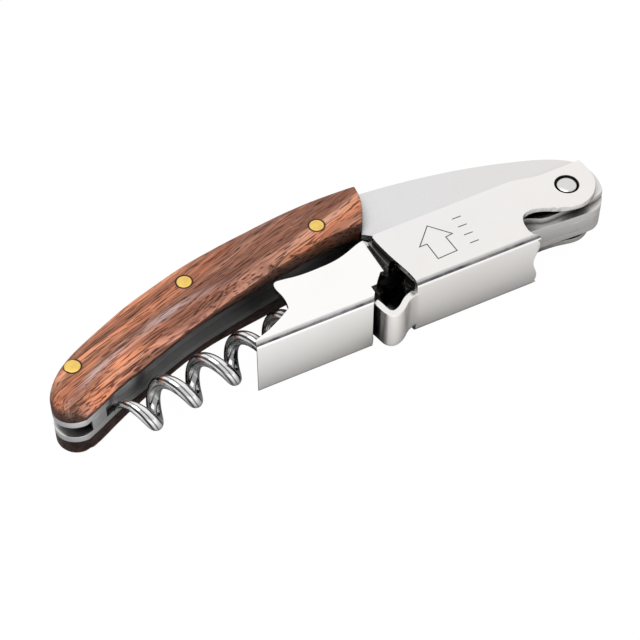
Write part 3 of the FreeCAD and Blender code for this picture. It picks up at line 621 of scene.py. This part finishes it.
def end_x(y):
    for (x0, y0), (x1, y1) in zip(WOOD_END_FINE, WOOD_END_FINE[1:]):
        if (y0 - y) * (y1 - y) <= 0 and y0 != y1:
            return x0 + (x1 - x0) * (y - y0) / (y1 - y0)
    return 12.0 if y < 15.0 else 19.2


def scale_outline(step=0.45):
    """Closed anticlockwise outline, without points closer than `near`."""
    near = 0.1
    inner, around = ([p for p in spline(side, step) if p[0] < end_x(p[1]) - 0.02]
                     for side in (INNER, AROUND))
    low_y, high_y = inner[-1][1], around[0][1]
    end = [p for p in reversed(WOOD_END_FINE) if low_y + 0.12 < p[1] < high_y - 0.12]
    points = inner + end + around
    kept = [points[0]]
    for p in points[1:]:
        if math.hypot(p[0] - kept[-1][0], p[1] - kept[-1][1]) > near:
            kept.append(p)
    if math.hypot(kept[0][0] - kept[-1][0], kept[0][1] - kept[-1][1]) < near:
        kept.pop()
    return kept


OUTLINE = scale_outline()


def rounding(radius, distance):
    """Depth of a quarter-round edge at a distance in from its border."""
    if distance >= radius:
        return 0.0
    return radius - math.sqrt(max(0.0, radius ** 2 - (radius - distance) ** 2))


def face_drop(x, y, front=True):
    """How far the wood's face lies under the flat at (x, y)."""
    radius = interpolate(x, BACK_ROUND)
    if not front:
        radius = min(REAR_ROUND_MAX, radius)
    back = rounding(radius, line_distance(x, y, AROUND_FINE))
    table = FRONT_FACET if front else REAR_FACET
    width, depth = interpolate(x, table, 1), interpolate(x, table, 2)
    distance = line_distance(x, y, INNER_FINE)
    facet = 0.0
    if distance < width:
        u = 1.0 - distance / width
        facet = (depth * (math.hypot(u, FACET_EASE) - FACET_EASE)
                 / (math.hypot(1.0, FACET_EASE) - FACET_EASE))
    end = rounding(END_ROUND, line_distance(x, y, END_LINE))
    return min(math.hypot(back, facet) + end, MAX_DROP)


def face_points():
    """Points of the face: the inset rings with their edges, then a staggered grid."""
    count = len(OUTLINE)
    points, edges = [], []
    for k, distance in enumerate(INSETS):
        points += inset(OUTLINE, distance)
        edges += [(k * count + i, k * count + (i + 1) % count) for i in range(count)]
    xs, ys = zip(*OUTLINE)
    closed = OUTLINE + OUTLINE[:1]
    x = min(xs)
    row = 0
    while x < max(xs):
        y = min(ys) + (GRID / 2 if row % 2 else 0)
        while y < max(ys):
            if inside(x, y, OUTLINE) and line_distance(x, y, closed) > INSETS[-1] + 0.45:
                points.append((x, y))
            y += GRID
        x += GRID * 0.87
        row += 1
    return points, edges


# Painted light on the front facet: the lit face (x) and a painted highlight on its ridge (y)
def facet_colour(x, y, z):
    if z <= SCALE_FLOOR:
        return (0.0, 0.0, 0.0)
    distance = line_distance(x, y, INNER_FINE)
    width = interpolate(x, FRONT_FACET)
    light = min(1.0, max(0.0, (width - distance) / 0.5)) * interpolate(x, FACET_LIGHT)
    ridge = math.exp(-((distance - width) / 0.55) ** 2) * interpolate(x, RIDGE_HIGHLIGHT)
    return (light, ridge, 0.0)


def build_scale(name, front, mat, stands_for):
    """Scale shaped as the front one; the rear one is mirrored about mid thickness."""
    points, edges = face_points()
    flat, _, triangles, sources, _, _ = delaunay_2d_cdt([Vector(p) for p in points], edges,
                                                        [], 1, 1e-6)
    faces = []
    for f in triangles:
        centre_x = sum(flat[i].x for i in f) / len(f)
        centre_y = sum(flat[i].y for i in f) / len(f)
        if inside(centre_x, centre_y, OUTLINE):
            faces.append(tuple(f))
    used = sorted({i for f in faces for i in f})
    renumber = {i: k for k, i in enumerate(used)}
    faces = [tuple(renumber[i] for i in f) for f in faces]
    verts = []
    for i in used:
        x, y = points[sources[i][0]] if sources[i] else flat[i]
        verts.append([flat[i].x, flat[i].y, THICK - face_drop(x, y, front)])

    # Border edges, walls down to the underside, and the underside itself
    owners = {}
    for f in faces:
        for a, b in zip(f, f[1:] + f[:1]):
            owners.setdefault((min(a, b), max(a, b)), []).append((a, b))
    border = [uses[0] for uses in owners.values() if len(uses) == 1]
    low = {}
    for edge in border:
        for i in edge:
            if i not in low:
                low[i] = len(verts)
                verts.append([verts[i][0], verts[i][1], SCALE_FLOOR])
    faces += [(b, a, low[a], low[b]) for a, b in border]
    following = dict(border)
    start = border[0][0]
    loop = [start]
    # The length limit guards against a border that touches itself
    while following[loop[-1]] != start and len(loop) < len(border) + 2:
        loop.append(following[loop[-1]])
    faces.append(tuple(low[i] for i in loop))

    placed = [to_row(x, y, z if front else THICK - z) for x, y, z in verts]
    ob = make(name, placed, faces, mat, "handle", stands_for, sharp=50)
    set_vectors(ob, "facet", [facet_colour(*v) if front else (0.0, 0.0, 0.0) for v in verts])


build_scale("wood_scale_front", True, FRONT_WOOD, "front_scale")
build_scale("wood_scale_rear", False, REAR_WOOD, "rear_scale")

# ------------------------------------------------------------------ pins
BRASS_PIN_R = 1.48
LEVER_PIVOT_R = 1.85
LEVER_PIVOT_BASE = 1.54


def scale_pin(name, centre, stands_for):
    """Brass pin through both scales, standing just proud of the highest wood at its rim."""
    radius = BRASS_PIN_R
    drops = [face_drop(centre[0] + radius * math.cos(k * 0.5236),
                       centre[1] + radius * math.sin(k * 0.5236)) for k in range(12)]
    base = min(drops + [face_drop(*centre)]) - 0.03
    lower = [(0.0, base), (radius * 0.6, base + 0.008), (radius * 0.9, base + 0.03),
             (radius, base + 0.09), (radius, 3.0)]
    lathe(name, centre, symmetric(lower), BRASS, "handle", stands_for)


def lever_pivot():
    radius, base = LEVER_PIVOT_R, LEVER_PIVOT_BASE
    lower = [(0.0, base), (radius * 0.55, base), (radius * 0.86, base + 0.03),
             (radius, base + 0.22)]
    lathe("lever_pivot", LEVER_PIVOT, symmetric(lower, [(radius, MID)]), PIN_STEEL, "handle",
          "lever_pivot_pin")


scale_pin("brass_pin_tail", TAIL_PIN, "knife_pivot_pin")
scale_pin("brass_pin_middle", MIDDLE_PIN, "middle_scale_pin")
scale_pin("brass_pin_head", HEAD_PIN, "head_scale_pin")
lever_pivot()

# ------------------------------------------------------------------ worm
WIRE_R, COIL_R, PITCH, TURNS = 1.28, 2.95, 8.24, 5.9
TIP_R = 0.10
TIP_TURNS = 0.5         # turns over which the point tapers
RUN_OUT = 0.75          # last turns, over which the coil closes onto the shank
SLOPE, SAG = 0.162, 0.012           # slope of the axis in plan, and its rise in z
TIP = (-40.24, -4.54)
EYE_R = 3.0
FLAT_LENGTH = 9.0       # from the start of the flattening to the eye's centre
FLAT_HALF = 1.2         # half thickness of the flattened end
FLAT_POWER = 7.0        # superellipse exponent there; a round wire has 2
THIN_END = 0.12         # least half width at the end of the eye
WIRE_SIDES = 28

SLOPE_ANGLE = math.atan(SLOPE)
PLAN = Vector((math.cos(SLOPE_ANGLE), math.sin(SLOPE_ANGLE), 0))
AXIS = Vector((PLAN.x, PLAN.y, SAG)).normalized()
ACROSS = Vector((-math.sin(SLOPE_ANGLE), math.cos(SLOPE_ANGLE), 0))
UPRIGHT = AXIS.cross(ACROSS)
TO_PIVOT = Vector((WORM_PIVOT[0] - TIP[0], WORM_PIVOT[1] - TIP[1], 0))
EYE_AT = TO_PIVOT.dot(PLAN)
SHANK_OFFSET = TO_PIVOT.dot(ACROSS)
COIL_START = Vector((TIP[0], TIP[1], MID - SAG * EYE_AT))
SHANK_START = COIL_START + ACROSS * SHANK_OFFSET
FLAT_AT = EYE_AT - FLAT_LENGTH


def coil(turn):
    """Wire centre after a number of turns from the tip."""
    radius = COIL_R
    side = 0.0
    if turn > TURNS - RUN_OUT:
        swing = math.cos(math.pi * min(1.0, (turn - (TURNS - RUN_OUT)) / RUN_OUT))
        radius = COIL_R * (0.5 + 0.5 * swing)
        side = SHANK_OFFSET * (0.5 - 0.5 * swing)
    angle = 2 * math.pi * turn
    return (COIL_START + AXIS * (turn * PITCH) + ACROSS * (radius * math.cos(angle) + side)
            + UPRIGHT * (radius * math.sin(angle)))


def worm_stations():
    """Sections from tip to eye: centre, direction, half width, half height, exponent."""
    stations = []
    count = int(TURNS * 44)
    for i in range(count + 1):
        t = TURNS * i / count
        radius = WIRE_R
        if t < TIP_TURNS:
            radius = (TIP_R + (WIRE_R - TIP_R)
                      * math.sin(t / TIP_TURNS * math.pi / 2) ** 0.85)
        direction = (coil(t + 1e-3) - coil(t - 1e-3)).normalized()
        stations.append((coil(t), direction, radius, radius, 2.0))

    def shank(s, half_width, half_height, power):
        stations.append((SHANK_START + AXIS * s, AXIS, half_width, half_height, power))

    coil_end = TURNS * PITCH
    for f in (0.25, 0.45, 0.65, 0.85, 0.95):
        shank(coil_end + (FLAT_AT - coil_end) * f, WIRE_R, WIRE_R, 2.0)
    for k in range(1, 7):
        f = k / 6.0
        shank(FLAT_AT + 1.6 * f, WIRE_R, WIRE_R + (FLAT_HALF - WIRE_R) * f,
              2.0 + (FLAT_POWER - 2.0) * f)
    for s in (3.2, 5.0):
        shank(FLAT_AT + s, WIRE_R, FLAT_HALF, FLAT_POWER)
    for k in range(25):
        a = math.pi * (0.18 + 0.815 * k / 24.0)
        s = EYE_AT - EYE_R * math.cos(a)
        least = WIRE_R if a < 1.57 else THIN_END
        if s > FLAT_AT + 5.6:
            shank(s, max(EYE_R * math.sin(a), least), FLAT_HALF, FLAT_POWER)
    return stations


def align_rings(verts, rings):
    """Turn each ring's start so that it lies nearest to the one before."""
    out = [rings[0]]
    for ring in rings[1:]:
        def gap(k):
            return sum((verts[ring[(k + j) % WIRE_SIDES]] - verts[out[-1][j]]).length
                       for j in range(0, WIRE_SIDES, 4))
        best = min(range(WIRE_SIDES), key=gap)
        out.append(ring[best:] + ring[:best])
    return out


def build_worm():
    """The attribute `wire` holds each vertex's direction round the wire, outward first."""
    verts, rings, around = [], [], []
    x = AXIS
    for centre, direction, half_width, half_height, power in worm_stations():
        if abs(direction.dot(AXIS)) > 0.9999:
            x = ACROSS
        x = (x - direction * x.dot(direction)).normalized()
        y = direction.cross(x)
        from_start = centre - COIL_START
        outward = from_start - AXIS * from_start.dot(AXIS)
        outward = outward - direction * outward.dot(direction)
        coiled = outward.length > 0.9 and power <= 2.0
        outward.normalize()
        sideways = direction.cross(outward)
        rings.append(list(range(len(verts), len(verts) + WIRE_SIDES)))
        for k in range(WIRE_SIDES):
            a = 2 * math.pi * k / WIRE_SIDES
            c, s = math.cos(a), math.sin(a)
            if power > 2.0:
                stretch = (abs(c) ** power + abs(s) ** power) ** (-1.0 / power)
                c, s = c * stretch, s * stretch
            offset = x * (half_width * c) + y * (half_height * s)
            verts.append(to_row(*(centre + offset)))
            unit = offset.normalized()
            around.append((unit.dot(outward), unit.dot(sideways), 0.0) if coiled
                          else (0.0, 0.0, 0.0))
    rings = align_rings(verts, rings)
    faces = []
    for a, b in zip(rings, rings[1:]):
        faces += bridge(a, b)
    faces += [tuple(reversed(rings[0])), tuple(rings[-1])]
    ob = make("worm_helix", verts, faces, WORM_STEEL, "worm", "worm", sharp=50)
    set_vectors(ob, "wire", around)


build_worm()

# ------------------------------------------------------------------ roller
ROLLER_R, ROLLER_BORE, ROLLER_HALF = 2.25, 0.85, 3.2


def build_roller():
    """Slightly waisted tube with eased rims; the profile ends where it starts."""
    base = MID - ROLLER_HALF
    lower = [(ROLLER_BORE, base), (ROLLER_R - 0.55, base), (ROLLER_R - 0.2, base + 0.12),
             (ROLLER_R, base + 0.5), (ROLLER_R - 0.05, MID - 1.6)]
    profile = symmetric(lower, [(ROLLER_R - 0.09, MID)]) + lower[:1]
    lathe("black_roller", ROLLER, profile, BLACK, "roller", "channel_roller")


build_roller()

# ------------------------------------------------------------------ CAD pieces shown as they are
# piece: material, slot, edge bevel in mm
CAD_LOOK = {
    "front_liner": (LINER_STEEL, "liner_steel", 0.10),
    "rear_liner": (LINER_STEEL, "liner_steel", 0.10),
    "front_bolster": (BOLSTER_STEEL, "bolster_steel", 0.0),
    "rear_bolster": (BOLSTER_STEEL, "bolster_steel", 0.0),
    "back_strip": (SPRING_STEEL, "spring_steel", 0.06),
    "head_spacer": (SPRING_STEEL, "spring_steel", 0.06),
    "bolster_rivets": (PIN_STEEL, "pin_steel", 0.0),
    "worm_pivot_pin": (PIN_STEEL, "pin_steel", 0.0),
    "knife_washers": (BRASS, "brass", 0.0),
    "foil_knife": (BLADE_STEEL, "blade_steel", 0.05),
    "first_lever": (LEVER_STEEL, "lever_steel", 0.14),
    "second_lever": (BOOT_STEEL, "lever_steel", 0.14),
    "lever_hinge_rivets": (SHADOWED_PIN_STEEL, "pin_steel", 0.0),
    "roller_pin": (SHADOWED_PIN_STEEL, "pin_steel", 0.0),
    "roller_spacers": (SHADOWED_PIN_STEEL, "pin_steel", 0.0),
}


def dress(ob, mat, slot, bevel_mm):
    ob.data.materials.clear()
    ob.data.materials.append(mat)
    for polygon in ob.data.polygons:
        polygon.material_index = 0
    weld = ob.modifiers.new("join", "WELD")
    weld.merge_threshold = 1e-7
    if bevel_mm:
        bevel = ob.modifiers.new("ease", "BEVEL")
        bevel.width = bevel_mm / 1000.0
        bevel.segments = 2
        bevel.limit_method = "ANGLE"
        bevel.angle_limit = math.radians(50)
        bevel.use_clamp_overlap = True
    ob.data.shade_smooth()
    split = ob.modifiers.new("soft", "EDGE_SPLIT")
    split.split_angle = math.radians(38)
    weighted = ob.modifiers.new("flat", "WEIGHTED_NORMAL")
    weighted.mode = "FACE_AREA"
    weighted.weight = 90


for piece, look in CAD_LOOK.items():
    dress(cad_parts[piece], *look)

# ------------------------------------------------------------------ etched marks, first lever
MARK_WIDTH = 0.2
MARK_BOTTOM, MARK_TOP = THICK - 0.2, THICK + 0.015
ARROW = [(25.0, 6.0), (28.2, 2.3), (26.7, 2.1), (26.9, -1.7), (22.9, -1.9), (22.8, 2.1),
         (21.3, 2.1)]
BAR_X = (29.9, 31.7)
BAR_Y = (5.4, 3.2, 1.0, -1.2)


def stroke(name, points, closed):
    """Thin raised band along a line, with mitred corners."""
    count = len(points)
    verts, faces = [], []
    for i, p in enumerate(points):
        normals = []
        for start in (i - 1, i):
            if closed or 0 <= start < count - 1:
                a, b = points[start], points[(start + 1) % count]
                dx, dy = b[0] - a[0], b[1] - a[1]
                length = math.hypot(dx, dy)
                normals.append((-dy / length, dx / length))
        mx, my = (sum(axis) for axis in zip(*normals))
        length = math.hypot(mx, my)
        mx, my = mx / length, my / length
        reach = MARK_WIDTH / 2 / max(0.3, mx * normals[0][0] + my * normals[0][1])
        for side in (reach, -reach):
            for z in (MARK_BOTTOM, MARK_TOP):
                verts.append(to_row(p[0] + mx * side, p[1] + my * side, z))
    for i in range(count if closed else count - 1):
        a, b = 4 * i, 4 * ((i + 1) % count)
        faces += [(a + 1, b + 1, b + 3, a + 3), (a, a + 2, b + 2, b), (a, b, b + 1, a + 1),
                  (a + 2, a + 3, b + 3, b + 2)]
    if not closed:
        e = 4 * (count - 1)
        faces += [(0, 1, 3, 2), (e, e + 2, e + 3, e + 1)]
    make(name, verts, faces, MARK, "lever")


stroke("arrow_mark", ARROW, closed=True)
for i, y in enumerate(BAR_Y):
    stroke("bar_mark_%d" % i, [(x, y) for x in BAR_X], closed=False)


# ------------------------------------------------------------------ stage
def floor_material():
    """White to the camera; to other rays a diffuse floor with a painted contact shadow, dark by
    the tool and paling toward -Y.
    """
    g = material_graph("pale_floor")
    place = g.coordinates()
    camera_ray = g.new("ShaderNodeLightPath").outputs["Is Camera Ray"]
    diffuse = g.new("ShaderNodeBsdfDiffuse")
    # Painted contact shadow seen in reflections: dark by the tool, paling toward -Y
    pale_from, pale_span = -5.5, 16.0       # working y where it starts to pale, and how far
    toward = g.scaled(g.axes(place)["Y"], -1000.0 / pale_span,
                      (SHIFT_Y + pale_from) / pale_span, clamp=True)
    g.feed(diffuse.inputs["Color"], g.ramp(toward, [(0.0, 0.42), (0.35, 0.66), (1.0, 0.97)]))
    glow = g.new("ShaderNodeEmission")
    g.feed(glow.inputs["Color"], (1, 1, 1))
    # Painted shadow: occlusion darkens the white floor in the small gap between the lower plates,
    # only near (15.5, 2.6)
    shade = g.math("MAXIMUM", painted_crevice_shade(g, reach=0.012, shut=0.20, clear=0.42, dark=0.0),
                   ring_mask(g, place, (15.5, 2.6), inner=4.0, outer=6.0))
    g.feed(glow.inputs["Strength"], g.times(shade, 1.02))
    blend = g.new("ShaderNodeMixShader")
    for socket, value in zip(blend.inputs, (g.times(camera_ray, 0.97), diffuse.outputs[0],
                                            glow.outputs[0])):
        g.feed(socket, value)
    g.feed(g.output.inputs["Surface"], blend.outputs[0])
    return g.owner


def build_floor(half=1.5, z=-0.00005):
    mesh = bpy.data.meshes.new("floor")
    corners = [(-half, -half, z), (half, -half, z), (half, half, z), (-half, half, z)]
    mesh.from_pydata(corners, [], [(0, 1, 2, 3)])
    floor = add_object("floor", mesh)
    mesh.materials.append(floor_material())


def build_world():
    """Room in two halves, toward the camera and away from it, blended across."""
    world = bpy.data.worlds.new("studio")
    bpy.context.scene.world = world
    g = Graph(world, "ShaderNodeOutputWorld")
    background = g.new("ShaderNodeBackground")
    direction = g.coordinates("Generated")
    # Nothing feeds this height, so it is zero and each ramp gives its first tone
    height = g.new("ShaderNodeSeparateXYZ").outputs["Z"]

    def tones(stops):
        return g.ramp(height, [(at, (grey, grey, grey * 1.01)) for at, grey in stops])

    near = tones([(0.0, 0.60), (0.02, 0.40), (0.05, 0.02), (0.80, 0.02), (0.90, 0.60),
                  (0.97, 1.0)])
    far = tones([(0.0, 0.80), (0.30, 0.86), (0.60, 0.97), (0.85, 1.0)])
    away = g.vector("DOT_PRODUCT", direction, (0.454, 0.891, 0.0), output="Value")
    side = g.new("ShaderNodeMapRange", interpolation_type="SMOOTHSTEP")
    g.feed(side.inputs["From Min"], -0.25)
    g.feed(side.inputs["From Max"], 0.25)
    g.feed(side.inputs["Value"], away)
    g.feed(background.inputs["Color"], g.mix(side.outputs["Result"], near, far))
    g.feed(background.inputs["Strength"], 1.3)
    g.feed(g.output.inputs["Surface"], background.outputs[0])


def aim(ob, direction):
    ob.rotation_mode = "QUATERNION"
    ob.rotation_quaternion = direction.to_track_quat("-Z", "Y")


def build_light():
    light = bpy.data.lights.new("key_soft", "AREA")
    light.energy = 1.43
    light.size = 0.45
    ob = add_object("key_soft", light)
    ob.location = (-0.20, -0.05, 0.60)
    aim(ob, -Vector((-0.20, -0.05, 0.60)))


def build_camera(azimuth=math.radians(-27.0), elevation=math.radians(50.0), distance=0.33214):
    camera = bpy.data.cameras.new("camera")
    camera.lens = 104.06
    camera.sensor_width = 36.0
    camera.clip_start, camera.clip_end = 0.01, 10
    ob = add_object("camera", camera)
    back = Vector((math.sin(azimuth) * math.cos(elevation),
                   -math.cos(azimuth) * math.cos(elevation), math.sin(elevation)))
    ob.location = to_row(0, 0, MID) + back * distance
    aim(ob, -back)
    bpy.context.scene.camera = ob


build_floor()
build_world()
build_light()
build_camera()
bpy.context.scene.view_settings.view_transform = "Standard"
